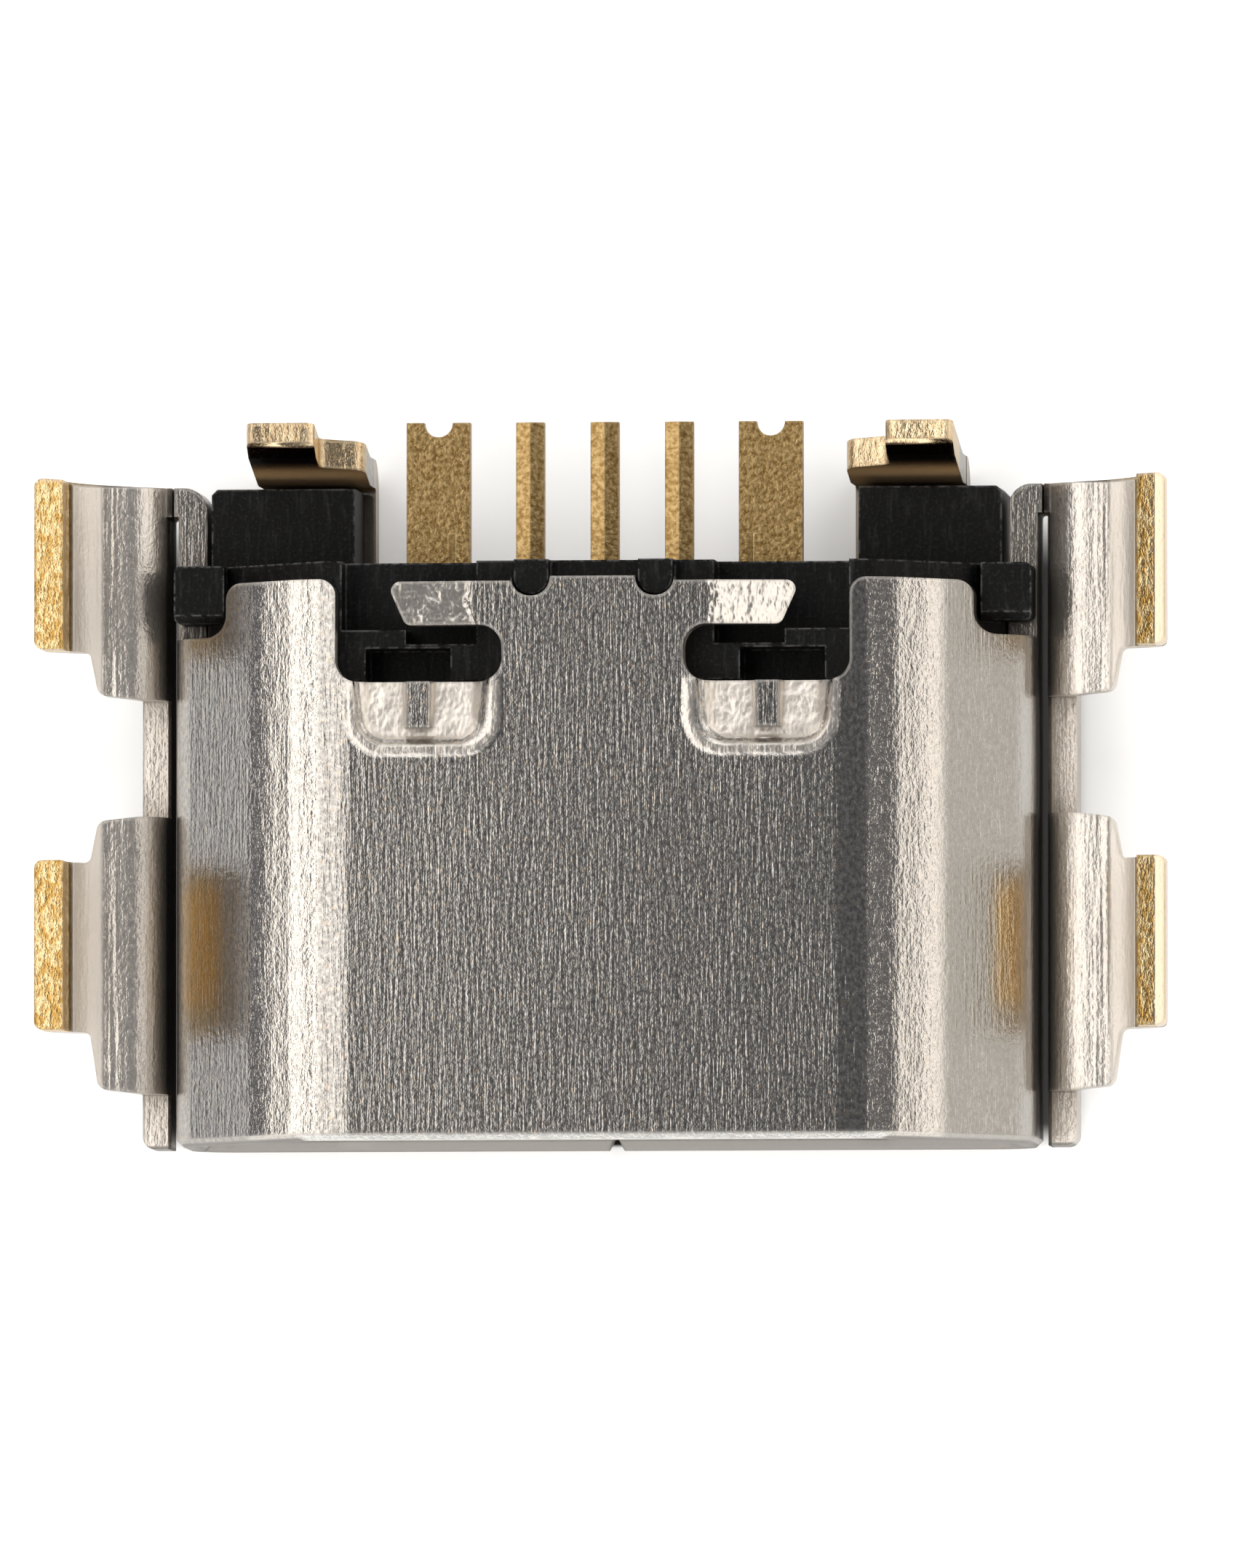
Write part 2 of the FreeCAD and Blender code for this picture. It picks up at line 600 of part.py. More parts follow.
def seam(body):
    """The butt seam in the wide plate: a fine gap around a dovetail lock at mid-depth."""
    half = "Sizes.seam_gap / 2"
    rear = f"Sizes.tube_depth + {CLEAR}"
    neck_front = "(Sizes.tube_depth - Sizes.lock_neck) / 2"
    neck_rear = "(Sizes.tube_depth + Sizes.lock_neck) / 2"
    head_front = f"{neck_front} - Sizes.lock_spread"
    head_rear = f"{neck_rear} + Sizes.lock_spread"
    slit = [
        ("-Sizes.seam_flare", "-Sizes.seam_flare"),
        ("Sizes.seam_flare", "-Sizes.seam_flare"),
        (half, "Sizes.seam_flare"),
        (half, f"{neck_front} - {half}"),
        (f"Sizes.lock_reach + {half}", f"{head_front} - {half}"),
        (f"Sizes.lock_reach + {half}", f"{head_rear} + {half}"),
        (half, f"{neck_rear} + {half}"),
        (half, rear),
        (f"-{half}", rear),
        (f"-{half}", f"{neck_rear} - {half}"),
        (f"Sizes.lock_reach - {half}", f"{head_rear} - {half}"),
        (f"Sizes.lock_reach - {half}", f"{head_front} + {half}"),
        (f"-{half}", f"{neck_front} + {half}"),
        (f"-{half}", "Sizes.seam_flare"),
    ]
    sketch = new_sketch(body, "SeamPlan", "XY_Plane")
    draw_outline(sketch, slit)
    return extrude(body, "Pocket", "Seam", sketch, "2 * Sizes.sheet_thickness", reverse=True)


def make_shell():
    body = new_body("shell")
    shell_tube(body)
    one_side = side_plates(body)
    one_side += wings(body)
    one_side += rear_leg(body)
    one_side += narrow_plate_rear(body)
    one_side += finger(body)
    one_side += coined_pocket(body)
    one_side += latch_window(body)
    mirror(body, "OtherSide", one_side)
    seam(body)
    return body


def housing_wall(body):
    """The base wall fills the tube's rear end and stands a little out of it."""
    sketch = new_sketch(body, "WallSection", "XZ_Plane", f"-{WALL_FRONT}")
    inset = "(Sizes.sheet_thickness + Sizes.fit_gap)"
    draw_outline(sketch, tube_corners(inset, "Sizes.sheet_thickness"))
    extrude(body, "Pad", "Wall", sketch, "Sizes.wall_length", reverse=True)


def housing_tongue(body):
    """The tongue that the plug slides over, with a tapered nose."""
    nose = "Sizes.tongue_front + Sizes.tongue_nose"
    top = "Sizes.tongue_bottom + Sizes.tongue_thickness"
    profile = [
        ("Sizes.tongue_front", "Sizes.tongue_bottom + Sizes.tongue_nose"),
        (nose, "Sizes.tongue_bottom"),
        (WALL_REAR, "Sizes.tongue_bottom"),
        (WALL_REAR, top),
        (nose, top),
        ("Sizes.tongue_front", f"{top} - Sizes.tongue_nose"),
    ]
    sketch = new_sketch(body, "TongueProfile", "YZ_Plane", "-Sizes.tongue_width / 2")
    draw_outline(sketch, profile)
    extrude(body, "Pad", "Tongue", sketch, "Sizes.tongue_width")


def rear_block(body):
    """The block behind the wall, between the strap below it and the leg behind it."""
    inner = "Sizes.strap_inner + Sizes.block_inset"
    outer = f"{WALL_INNER} - Sizes.block_gap"
    joint = "Sizes.tube_depth + Sizes.fit_gap"
    bevelled = [
        (inner, joint),
        (outer, joint),
        (outer, f"{BLOCK_REAR} - Sizes.block_bevel"),
        (f"{outer} - Sizes.block_bevel", BLOCK_REAR),
        (inner, BLOCK_REAR),
    ]
    sketch = new_sketch(body, "BlockPlan", "XY_Plane", "Sizes.sheet_thickness")
    draw_outline(sketch, bevelled)
    return [extrude(body, "Pad", "Block", sketch, "Sizes.block_height")]


def corner_block(body):
    """The block in the shell's rear corner cut, with a bevel along its front edge."""
    front = f"{CORNER_CUT_FRONT} + Sizes.corner_front_gap"
    top = f"{CORNER_CUT_FLOOR} + Sizes.corner_block_rise"
    profile = [
        (front, CORNER_CUT_FLOOR),
        (WALL_REAR, CORNER_CUT_FLOOR),
        (WALL_REAR, top),
        (f"{front} + Sizes.corner_block_bevel", top),
        (front, f"{top} - Sizes.corner_block_bevel"),
    ]
    inner = f"{SHOULDER_OUTER} + Sizes.corner_gap"
    outer = "(Sizes.tube_width / 2 - Sizes.fit_gap / 2)"
    sketch = new_sketch(body, "CornerBlockProfile", "YZ_Plane", inner)
    draw_outline(sketch, profile)
    block = extrude(body, "Pad", "CornerBlock", sketch, f"{outer} - ({inner})")
    rounded = [
        (f"{outer} + {CLEAR}", f"{front} - {CLEAR}"),
        (f"{outer} + {CLEAR}", f"{WALL_REAR} + {CLEAR}"),
        (f"{outer} - 2 * Sizes.corner_block_round", f"{WALL_REAR} + {CLEAR}"),
        (f"{outer} - 2 * Sizes.corner_block_round", WALL_REAR),
        (outer, WALL_REAR, "Sizes.corner_block_round"),
        (outer, front, "Sizes.corner_block_round"),
        (f"{outer} - 2 * Sizes.corner_block_round", front),
        (f"{outer} - 2 * Sizes.corner_block_round", f"{front} - {CLEAR}"),
    ]
    sketch = new_sketch(body, "CornerBlockPlan", "XY_Plane", top)
    draw_outline(sketch, rounded)
    return [block, extrude(body, "Pocket", "CornerBlockCut", sketch, "Sizes.corner_block_rise")]


def housing_top(body):
    """Bumps in the shell's half-round notches, and the wells below fingers and slots."""
    left = "Sizes.tab_half + Sizes.fit_gap"
    right = "Sizes.tab_half + Sizes.notch_width - Sizes.fit_gap"
    front = "Sizes.tube_depth - Sizes.notch_depth + Sizes.fit_gap"
    bump_round = "(Sizes.notch_width - 2 * Sizes.fit_gap) * 0.47"
    bump = [
        (left, front, bump_round),
        (right, front, bump_round),
        (right, WALL_REAR),
        (left, WALL_REAR),
    ]
    sketch = new_sketch(body, "BumpPlan", "XY_Plane", CONTACT_TOP)
    draw_outline(sketch, bump)
    bumps = extrude(body, "Pad", "Bump", sketch, f"Sizes.tube_height - Sizes.bump_drop - {CONTACT_TOP}")
    slot_well_rear = f"{SLOT_FRONT} + Sizes.slot_well_length"
    ridge_rear = f"{slot_well_rear} + Sizes.well_ridge"
    inner = "Sizes.finger_root - Sizes.well_lip / 2"
    step = "Sizes.finger_root + Sizes.well_step"
    outer = "Sizes.slot_outer - Sizes.well_lip"
    behind = f"{WALL_REAR} + {CLEAR}"
    finger_well_plan = [
        (inner, ridge_rear),
        (step, ridge_rear),
        (step, f"{SLOT_REAR} - Sizes.well_lip"),
        (outer, f"{SLOT_REAR} - Sizes.well_lip"),
        (outer, behind),
        (inner, behind),
    ]
    sketch = new_sketch(body, "FingerWellPlan", "XY_Plane", "Sizes.tube_height")
    draw_outline(sketch, finger_well_plan)
    finger_well = extrude(body, "Pocket", "FingerWell", sketch, "Sizes.finger_well_depth")
    sketch = new_sketch(body, "SlotWellPlan", "XY_Plane", "Sizes.tube_height")
    draw_outline(sketch, box_corners("Sizes.slot_well_centre - Sizes.slot_well_width / 2",
                                     "Sizes.slot_well_centre + Sizes.slot_well_width / 2",
                                     f"{WALL_FRONT} - {CLEAR}", slot_well_rear))
    slot_well = extrude(body, "Pocket", "SlotWell", sketch, "Sizes.slot_well_depth")
    return [bumps, finger_well, slot_well]


def contact_section(middle):
    """A strip's section: flat below, with a low ridge along its top."""
    left = f"{middle} - Sizes.contact_width / 2"
    right = f"{middle} + Sizes.contact_width / 2"
    edge = f"{CONTACT_TOP} - Sizes.contact_ridge"
    return [
        (left, CONTACT_BOTTOM),
        (right, CONTACT_BOTTOM),
        (right, edge),
        (middle, CONTACT_TOP),
        (left, edge),
    ]


def contact_middle(number):
    """Where the strip lies across the tongue, counted from the left."""
    return f"{number - (CONTACT_COUNT + 1) / 2:g} * Sizes.contact_pitch"


def make_housing():
    body = new_body("housing")
    housing_wall(body)
    housing_tongue(body)
    one_side = rear_block(body)
    one_side += corner_block(body)
    one_side += housing_top(body)
    mirror(body, "OtherHalf", one_side)
    sketch = new_sketch(body, "ContactChannels", "XZ_Plane", f"-{CONTACT_FRONT}")
    for number in range(1, CONTACT_COUNT + 1):
        draw_outline(sketch, contact_section(contact_middle(number)))
    extrude(body, "Pocket", "Channels", sketch, WALL_REAR)
    return body


def wide_tail(body, side):
    """The broad tail of an outer contact, with a half-round notch in its tip."""
    middle = f"{side} * Sizes.wide_tail_centre"
    left = f"{middle} - Sizes.wide_tail_width / 2"
    right = f"{middle} + Sizes.wide_tail_width / 2"
    sketch = new_sketch(body, "TailPlan", "XY_Plane", CONTACT_BOTTOM)
    draw_outline(sketch, box_corners(left, right, WALL_REAR, TAIL_END))
    extrude(body, "Pad", "Tail", sketch, "Sizes.contact_thickness - Sizes.contact_ridge / 2")
    sketch = new_sketch(body, "TipNotchPlan", "XY_Plane", CONTACT_TOP)
    point = FreeCAD.Vector(value(middle), value(TAIL_END), 0)
    circle = Part.Circle(point, FreeCAD.Vector(0, 0, 1), value("Sizes.tail_notch"))
    notch = sketch.addGeometry(circle, False)
    bind(sketch, Sketcher.Constraint("Radius", notch, circle.Radius), "Sizes.tail_notch")
    bind(sketch, Sketcher.Constraint("DistanceX", -1, 1, notch, 3, point.x), middle)
    bind(sketch, Sketcher.Constraint("DistanceY", -1, 1, notch, 3, point.y), TAIL_END)
    extrude(body, "Pocket", "TipNotch", sketch, "2 * Sizes.contact_thickness")


def make_contact(number):
    body = new_body(f"contact_{number}")
    sketch = new_sketch(body, "StripSection", "XZ_Plane", f"-{CONTACT_FRONT}")
    draw_outline(sketch, contact_section(contact_middle(number)))
    outer = number in (1, CONTACT_COUNT)
    end = f"{WALL_REAR} + Sizes.wide_tail_width / 2" if outer else TAIL_END
    extrude(body, "Pad", "Strip", sketch, f"{end} - {CONTACT_FRONT}", reverse=True)
    if outer:
        wide_tail(body, 1 if number > 1 else -1)
    return body


def check(bodies):
    """Stop before anything is written if a feature failed or a piece isn't sound."""
    doc.recompute()
    for thing in doc.Objects:
        if "Invalid" in thing.State or "Error" in thing.State:
            raise RuntimeError(f"{thing.Label} failed: {thing.State}")
    for body in bodies:
        if body.Shape.isNull() or not body.Shape.isValid() or len(body.Shape.Solids) != 1:
            raise RuntimeError(f"{body.Label} isn't one sound solid")


def main():
    fill_sheet()
    bodies = [make_shell(), make_housing()]
    bodies += [make_contact(number) for number in range(1, CONTACT_COUNT + 1)]
    check(bodies)
    os.makedirs("parts", exist_ok=True)
    for body in bodies:
        body.Shape.exportStep(f"parts/{body.Label}.step")
        box = body.Shape.BoundBox
        print(f"{body.Label}: volume {body.Shape.Volume:.3f}, x {box.XMin:.3f} {box.XMax:.3f},"
              f" y {box.YMin:.3f} {box.YMax:.3f}, z {box.ZMin:.3f} {box.ZMax:.3f}")


main()
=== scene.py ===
# %% [markdown]
# # A micro usb socket, seen from above
# The socket lies on its wide plate, with its board legs pointing up. Its pieces come from the
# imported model: one folded shell, one black moulding and five contact strips. Each keeps its own
# mesh, and this lesson gives it the finish of the real thing: rolled nickel-plated strip,
# gold-plated solder legs with sheared ends, grainy gold tails, and black glass-filled plastic.

# %% Load the model
import math
from types import SimpleNamespace

import bpy
from mathutils import Matrix, Vector


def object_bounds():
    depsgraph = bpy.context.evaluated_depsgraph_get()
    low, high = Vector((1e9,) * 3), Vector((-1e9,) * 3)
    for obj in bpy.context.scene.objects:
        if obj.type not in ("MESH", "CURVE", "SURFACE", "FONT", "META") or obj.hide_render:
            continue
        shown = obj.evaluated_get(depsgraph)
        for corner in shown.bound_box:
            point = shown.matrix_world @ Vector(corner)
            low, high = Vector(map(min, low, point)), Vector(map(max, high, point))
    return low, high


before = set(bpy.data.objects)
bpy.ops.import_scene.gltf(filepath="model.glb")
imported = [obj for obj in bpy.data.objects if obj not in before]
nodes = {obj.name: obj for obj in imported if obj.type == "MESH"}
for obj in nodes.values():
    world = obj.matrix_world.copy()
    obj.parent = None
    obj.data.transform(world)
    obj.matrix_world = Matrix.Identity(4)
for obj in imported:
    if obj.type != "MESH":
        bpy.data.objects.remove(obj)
cad_box = [list(corner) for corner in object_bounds()]
MM = 0.001
print("pieces:", sorted(nodes))
print("box in mm:", [[round(number / MM, 2) for number in corner] for corner in cad_box])

# %% [markdown]
# ## Shader maths as plain sums
# A material is a net of nodes, and sums written as nodes are hard to read. A Wire stands for one
# output of a node. Adding or multiplying two of them adds the Math node that does it, so that
# 1 - mask means what it says. A Net makes every node through one method, which sets the settings
# first and then the sockets.


# %% A wire that can be added and multiplied
class Wire:
    """One output of a shader node, which works like a number in sums."""

    def __init__(self, net, socket):
        self.net = net
        self.socket = socket

    def math(self, operation, *values):
        return self.net.add("ShaderNodeMath", {"operation": operation}, dict(enumerate(values)))

    def __add__(self, other):
        return self.math("ADD", self, other)

    def __radd__(self, other):
        return self.math("ADD", other, self)

    def __mul__(self, other):
        return self.math("MULTIPLY", self, other)

    def __rmul__(self, other):
        return self.math("MULTIPLY", other, self)

    def __sub__(self, other):
        return self.math("SUBTRACT", self, other)

    def __rsub__(self, other):
        return self.math("SUBTRACT", other, self)

    def __abs__(self):
        return self.math("ABSOLUTE", self)

    def max(self, other):
        return self.math("MAXIMUM", self, other)

    def min(self, other):
        return self.math("MINIMUM", self, other)

    def root(self):
        return self.math("SQRT", self)

    def rises(self, low, high):
        """0 below low, 1 above high, and smooth between them."""
        settings = {"interpolation_type": "SMOOTHSTEP"}
        inputs = {"Value": self, "From Min": low, "From Max": high}
        return self.net.add("ShaderNodeMapRange", settings, inputs)

    def between(self, low, high, soft):
        """1 from low to high, fading over a soft edge outside them."""
        return self.rises(low - soft, low) * (1 - self.rises(high, high + soft))


print("a Wire does + - * and abs, max, min, root, rises and between")


# %% A net of nodes
def set_stops(ramp, stops):
    while len(ramp.elements) < len(stops):
        ramp.elements.new(0.5)
    for element, (place, color) in zip(ramp.elements, stops):
        element.position = place
        element.color = (*color, 1.0)


class Net:
    """The nodes of one material, or of the world."""

    def __init__(self, tree):
        self.tree = tree

    def add(self, kind, settings=None, inputs=None, output=0):
        """Add a node: its settings, then a value or a Wire for each socket named in inputs.

        The output is a name or a number, and a tuple of names gives a list of Wires.
        """
        node = self.tree.nodes.new(kind)
        for name, setting in (settings or {}).items():
            if name == "stops":
                set_stops(node.color_ramp, setting)
            else:
                setattr(node, name, setting)
        for name, value in (inputs or {}).items():
            self.plug(value, node.inputs[name])
        if isinstance(output, tuple):
            return [Wire(self, node.outputs[name]) for name in output]
        return Wire(self, node.outputs[output])

    def plug(self, value, socket):
        """Link a Wire to a socket, or set the socket's own value."""
        if isinstance(value, Wire):
            self.tree.links.new(value.socket, socket)
        elif isinstance(value, tuple) and socket.type == "RGBA":
            socket.default_value = (*value, 1.0)
        else:
            socket.default_value = value


print("a Net makes every node through add")

# %% [markdown]
# ## Noise at the scale of the metal's grain
# The finishes are all made of noise: long thin grain from rolling the strip, round dimples from the
# plating, specks of warm reflection. Every texture reads the place on the piece itself, in
# millimetres, so the grain stays fixed to the metal whatever the camera does. Image textures would
# need a flat layout of every piece, and would show their grid close up.


# %% Noise in millimetres
def place_on_piece(net):
    """The place on the piece in millimetres."""
    metres = net.add("ShaderNodeTexCoord", output="Object")
    return net.add("ShaderNodeVectorMath", {"operation": "SCALE"}, {0: metres, "Scale": 1 / MM})


def parts(vector):
    """The three numbers of a vector: to the right, to the rear and up."""
    return vector.net.add("ShaderNodeSeparateXYZ", {}, {0: vector}, ("X", "Y", "Z"))


def noise(where, scale, detail=2.0, roughness=0.5, stretch=(1, 1, 1), shift=0.0):
    """Noise from 0 to 1 with so many lumps to a millimetre, squeezed by the stretch."""
    moved = {"Vector": where, "Location": (shift, shift, shift), "Scale": stretch}
    squeezed = where.net.add("ShaderNodeMapping", {"vector_type": "POINT"}, moved)
    lumps = {"Vector": squeezed, "Scale": scale, "Detail": detail, "Roughness": roughness}
    return where.net.add("ShaderNodeTexNoise", {"noise_dimensions": "3D"}, lumps)


width = round(cad_box[1][0] * 2 / MM, 2)
print("noise counts its lumps to a millimetre, and the part is", width, "mm wide")

# %% Colours and bumps
# A Mix node's colour sockets share their names with its other sockets, so they go by their places.
MIX_FACTOR, MIX_FIRST, MIX_SECOND, MIX_RESULT = 0, 6, 7, 2


def mix(factor, first, second, blend="MIX"):
    """One colour over another, by the factor."""
    settings = {"data_type": "RGBA", "blend_type": blend}
    inputs = {MIX_FACTOR: factor, MIX_FIRST: first, MIX_SECOND: second}
    return factor.net.add("ShaderNodeMix", settings, inputs, MIX_RESULT)


def bump(height, normal):
    """A Bump node for a height in millimetres, over a normal."""
    inputs = {"Height": height, "Distance": MM, "Strength": 1.0, "Normal": normal}
    return height.net.add("ShaderNodeBump", {}, inputs)


print("a height of 1 bumps by", MM, "m")

# %% [markdown]
# ## Edges, slits and faces
# Stamped and moulded edges are a little round, and that thin round line catches the light. Rounding
# the mesh would change the model, so a Bevel node rounds the normal instead, and where it departs
# from the flat face there is an edge. Ambient Occlusion tells how much of the sky a place sees,
# which is little in a slit. The face's own normal tells which way it looks.

# %% Rounded edges
SAMPLES = 2
EDGE_FROM, EDGE_TO = 0.02, 0.1


def facing(net, axis):
    """How far the face looks along an axis, 1 for straight along it."""
    flat = net.add("ShaderNodeNewGeometry", {}, {}, "Normal")
    inputs = {0: flat, 1: axis}
    return net.add("ShaderNodeVectorMath", {"operation": "DOT_PRODUCT"}, inputs, "Value")


def rounded_edges(net, radius):
    """The normal with its edges rounded, and a mask that is 1 along them."""
    rounded = net.add("ShaderNodeBevel", {"samples": SAMPLES}, {"Radius": radius * MM})
    agree = facing(net, rounded)
    return rounded, (1 - agree).rises(EDGE_FROM, EDGE_TO)


edge_turn = math.degrees(math.acos(1 - EDGE_TO))
print("a normal turned by", round(edge_turn), "degrees counts as an edge")


# %% How open a place is
def openness(net, distance):
    """1 in the open and 0 deep in a slit: how much of the sky a place sees within the distance."""
    settings = {"samples": SAMPLES}
    return net.add("ShaderNodeAmbientOcclusion", settings, {"Distance": distance * MM}, "AO")


print("each edge and slit is judged from", SAMPLES, "rays for each sample of the picture")


# %% A new material
def new_material(name):
    """An empty material, its net and its Principled shader."""
    material = bpy.data.materials.new(name)
    material.use_nodes = True
    return material, Net(material.node_tree), material.node_tree.nodes["Principled BSDF"]


def dress(shader, net, **inputs):
    """Plug each value into the shader's socket of that name, with a space for each underscore."""
    for name, value in inputs.items():
        net.plug(value, shader.inputs[name.replace("_", " ")])


def tell(material):
    print(material.name, "has", len(material.node_tree.nodes), "nodes")


print("a socket called Base Color is written as Base_Color")

# %% [markdown]
# ## The shell: nickel plate, and gold on the solder legs
# The strip is rolled, so fine scratches run from mouth to tails. The plating over them is a skin of
# small dimples, like orange peel, that breaks up every reflection. Painting those lights and darks
# on would look flat from any other side, so here they come mostly from a bump: the flat plate
# mirrors the dark above it, the dimples catch the light to the left, and the smooth bends stay
# bright. The colour adds some painted shade in the deep dimples and a painted highlight on the
# bends.

# %% The grain of the shell
# In each row: lumps to a millimetre, detail, roughness, stretch, and a shift that keeps them apart.
SCRATCHES = (34, 2, 0.6, (1.0, 0.08, 1.0))
PEEL = (30, 2, 0.65, (1.0, 0.7, 1.0), 7.0)
DENTS = (7, 2, 0.6, (1.0, 0.7, 1.0), 5.0)
PATCHES = (1.4, 2, 0.5, (1.0, 0.5, 1.0), 3.0)
WARM_SPECKS = (22, 1, 0.5, (1.0, 0.7, 1.0), 11.0)
TORN = (26, 3, 0.7, (1.0, 0.45, 0.7), 9.0)
WRINKLES = (13, 1, 0.5, (1.0, 0.04, 0.0), 13.0)


def shell_grain(where):
    """The shell's noises. Those that are heights lie round 0, so that no mask of them tilts."""
    return SimpleNamespace(
        streaks=noise(where, *SCRATCHES) - 0.5,
        peel=noise(where, *PEEL) - 0.5,
        dents=noise(where, *DENTS) - 0.5,
        patches=noise(where, *PATCHES),
        warm=noise(where, *WARM_SPECKS),
        torn=noise(where, *TORN) - 0.5,
        wrinkles=noise(where, *WRINKLES) - 0.5,
    )


print("finest grain:", SCRATCHES[0], "lumps to a mm; coarsest:", PATCHES[0])

# %% [markdown]
# ## Places on the shell
# One sheet makes the whole shell, so one material has to tell its parts apart. Each part gets a
# mask, 1 on it and 0 off it, from its place: how far it is from the middle, how far to the rear and
# how high. The lines below are read from the model's own edges and bends.

# %% Lines on the shell
# Where a mask rises from 0 to 1, in millimetres. Out from the middle:
POCKETS_END = (2.3, 2.36)
FINGERS_END = (1.95, 2.0)
SIDE_PLATES = (3.76, 3.8)
WINGS = (3.8, 3.86)
LEGS = (4.5, 4.56)
RIGHT_RIMS = (4.82, 4.84)
# From the mouth to the rear:
MOUTH_RIM = (-2.43, -2.41)
MOUTH_LIP = (-2.41, -2.385)
FLARE = (-2.36, -2.3)
POCKETS_REAR = (1.5, 1.6)
FINGERS = (1.95, 2.0)
STRAPS = (3.0, 3.1)
REAR_LEGS = (3.3, 3.34)
# From the floor up:
LOW_PLATE_END = (0.35, 0.45)
REAR_GOLD = (1.02, 1.14)
STRAP_FOOT_END = (1.05, 1.5)
WING_GOLD = (1.36, 1.46)
STRAP_FRONT_END = (1.71, 1.74)
UPPER_BENDS = (1.7, 1.8)
FINGER_HEIGHT = (2.2, 2.25)
TOP_RIM = (2.3, 2.33)
TOP_FACE = (2.37, 2.385)
print("from the mouth at", MOUTH_RIM[0], "to the rear legs at", REAR_LEGS[0], "mm")

# %% Bands on the shell
# Where a mask is 1, and the soft edge outside that, in millimetres. Out from the middle:
FINGER_SPAN = (1.1, 2.1, 0.1)
BEND = (2.42, 3.02, 0.06)
SLOPE = (3.05, 3.8, 0.1)
WRINKLED = (4.28, 4.42, 0.03)
WING_FOLD = (4.42, 4.62, 0.05)
# From the floor up:
SIDE_PLATE_TOPS = (0.45, 0.93, 0.02)
SLOPE_HEIGHT = (0.6, 2.0, 0.1)
POCKET_FLOORS = (2.2, 2.335, 0.02)
print("the bend is", round(BEND[1] - BEND[0], 2), "mm wide, the slope", SLOPE[1] - SLOPE[0])


# %% Gold on the legs
def gold_on_legs(side, y, z):
    """The ends of the four wings' legs, and the tips and shoulders of the two rear legs."""
    wing_legs = side.rises(*LEGS) * z.rises(*WING_GOLD)
    rear_legs = y.rises(*REAR_LEGS) * z.rises(*REAR_GOLD)
    return wing_legs.max(rear_legs)


print("the wings' legs are gold above", WING_GOLD[1], "mm, the rear legs above", REAR_GOLD[1])

# %% The lip round the coined pockets
POCKET_CENTRE = 1.473
POCKET_HALF_WIDTH = 0.585
POCKET_FRONT = 0.976
POCKET_ROUND = 0.25
LIP = (0.02, 0.05, 0.07)


def pocket_lip(side, y, z):
    """The ridge of metal that the coining pushed up round the sides and front of a pocket."""
    past_side = (abs(side - POCKET_CENTRE) - POCKET_HALF_WIDTH + POCKET_ROUND).max(0)
    past_front = (POCKET_FRONT + POCKET_ROUND - y).max(0)
    from_pocket = (past_side * past_side + past_front * past_front).root() - POCKET_ROUND
    return from_pocket.between(*LIP) * (1 - y.rises(*POCKETS_REAR)) * z.rises(*TOP_FACE)


print("a pocket is", 2 * POCKET_HALF_WIDTH, "mm wide inside its lip")


# %% The narrow face, its pockets and its fingers
RAGGED = 0.3


def face_places(side, y, z, dents):
    """The coined pockets, the fingers with their ragged root, and the lip round the pockets."""
    rear = y.rises(*FINGERS)
    pressed = z.between(*POCKET_FLOORS) * (1 - side.rises(*POCKETS_END)) * (1 - rear)
    finger = (side + dents * RAGGED).between(*FINGER_SPAN) * z.rises(*FINGER_HEIGHT) * rear
    finger = finger * (1 - side.rises(*FINGERS_END))
    return pressed, finger, pocket_lip(side, y, z)


print("each finger is free over", FINGER_SPAN[1] - FINGER_SPAN[0], "mm")


# %% All the parts of the shell
def shell_places(net, x, y, z, dents, rim):
    """A mask for each part of the shell that has a look of its own."""
    at = SimpleNamespace(side=abs(x))
    at.pressed, at.finger, at.lip = face_places(at.side, y, z, dents)
    at.dented = at.pressed.max(at.finger)
    at.leg = gold_on_legs(at.side, y, z)
    # The outer rims of the right legs only: their paler gold is a painted highlight.
    at.pale_rim = x.rises(*RIGHT_RIMS)
    at.sheared = at.leg * (1 - at.pale_rim)
    at.low_plate = 1 - z.rises(*LOW_PLATE_END)
    at.plate_top = at.side.rises(*SIDE_PLATES) * z.between(*SIDE_PLATE_TOPS)
    at.wing = at.side.rises(*WINGS) * (1 - at.low_plate) * (1 - at.leg)
    at.fold = at.side.between(*WING_FOLD) * (1 - at.leg)
    at.bend = at.side.between(*BEND) * z.rises(*UPPER_BENDS)
    at.slope = at.side.between(*SLOPE) * z.between(*SLOPE_HEIGHT)
    at.strap_front = facing(net, (0, -1, 0)).rises(0.5, 0.8) * y.rises(*STRAPS)
    at.strap_foot = at.strap_front * (1 - z.rises(*STRAP_FOOT_END))
    at.mouth_edge = (1 - y.rises(*MOUTH_RIM)) * (1 - z.rises(*TOP_RIM))
    at.mouth_lip = (1 - y.rises(*MOUTH_LIP)) * z.rises(*TOP_RIM)
    at.flare = at.low_plate * (1 - y.rises(*FLARE))
    # Rubbed places, and the edges, whose lighter colour is also a painted highlight.
    at.burnished = at.dented.max(rim * 0.8).max(at.low_plate).max(at.lip * 0.7)
    return at


print("the wings run from", WINGS[0], "to the legs at", LEGS[0], "mm")

# %% [markdown]
# ## The shape of the surface
# A mirror shows small slopes as large changes of light. The narrow face is a little crowned, its
# bends are softer than the model's, and the wings and fingers lean. These slow shapes are heights
# in millimetres, added up with the scratches, dimples and dents, and one Bump node turns the sum
# into a normal. A bump turns only the light, so the outline stays the model's own.

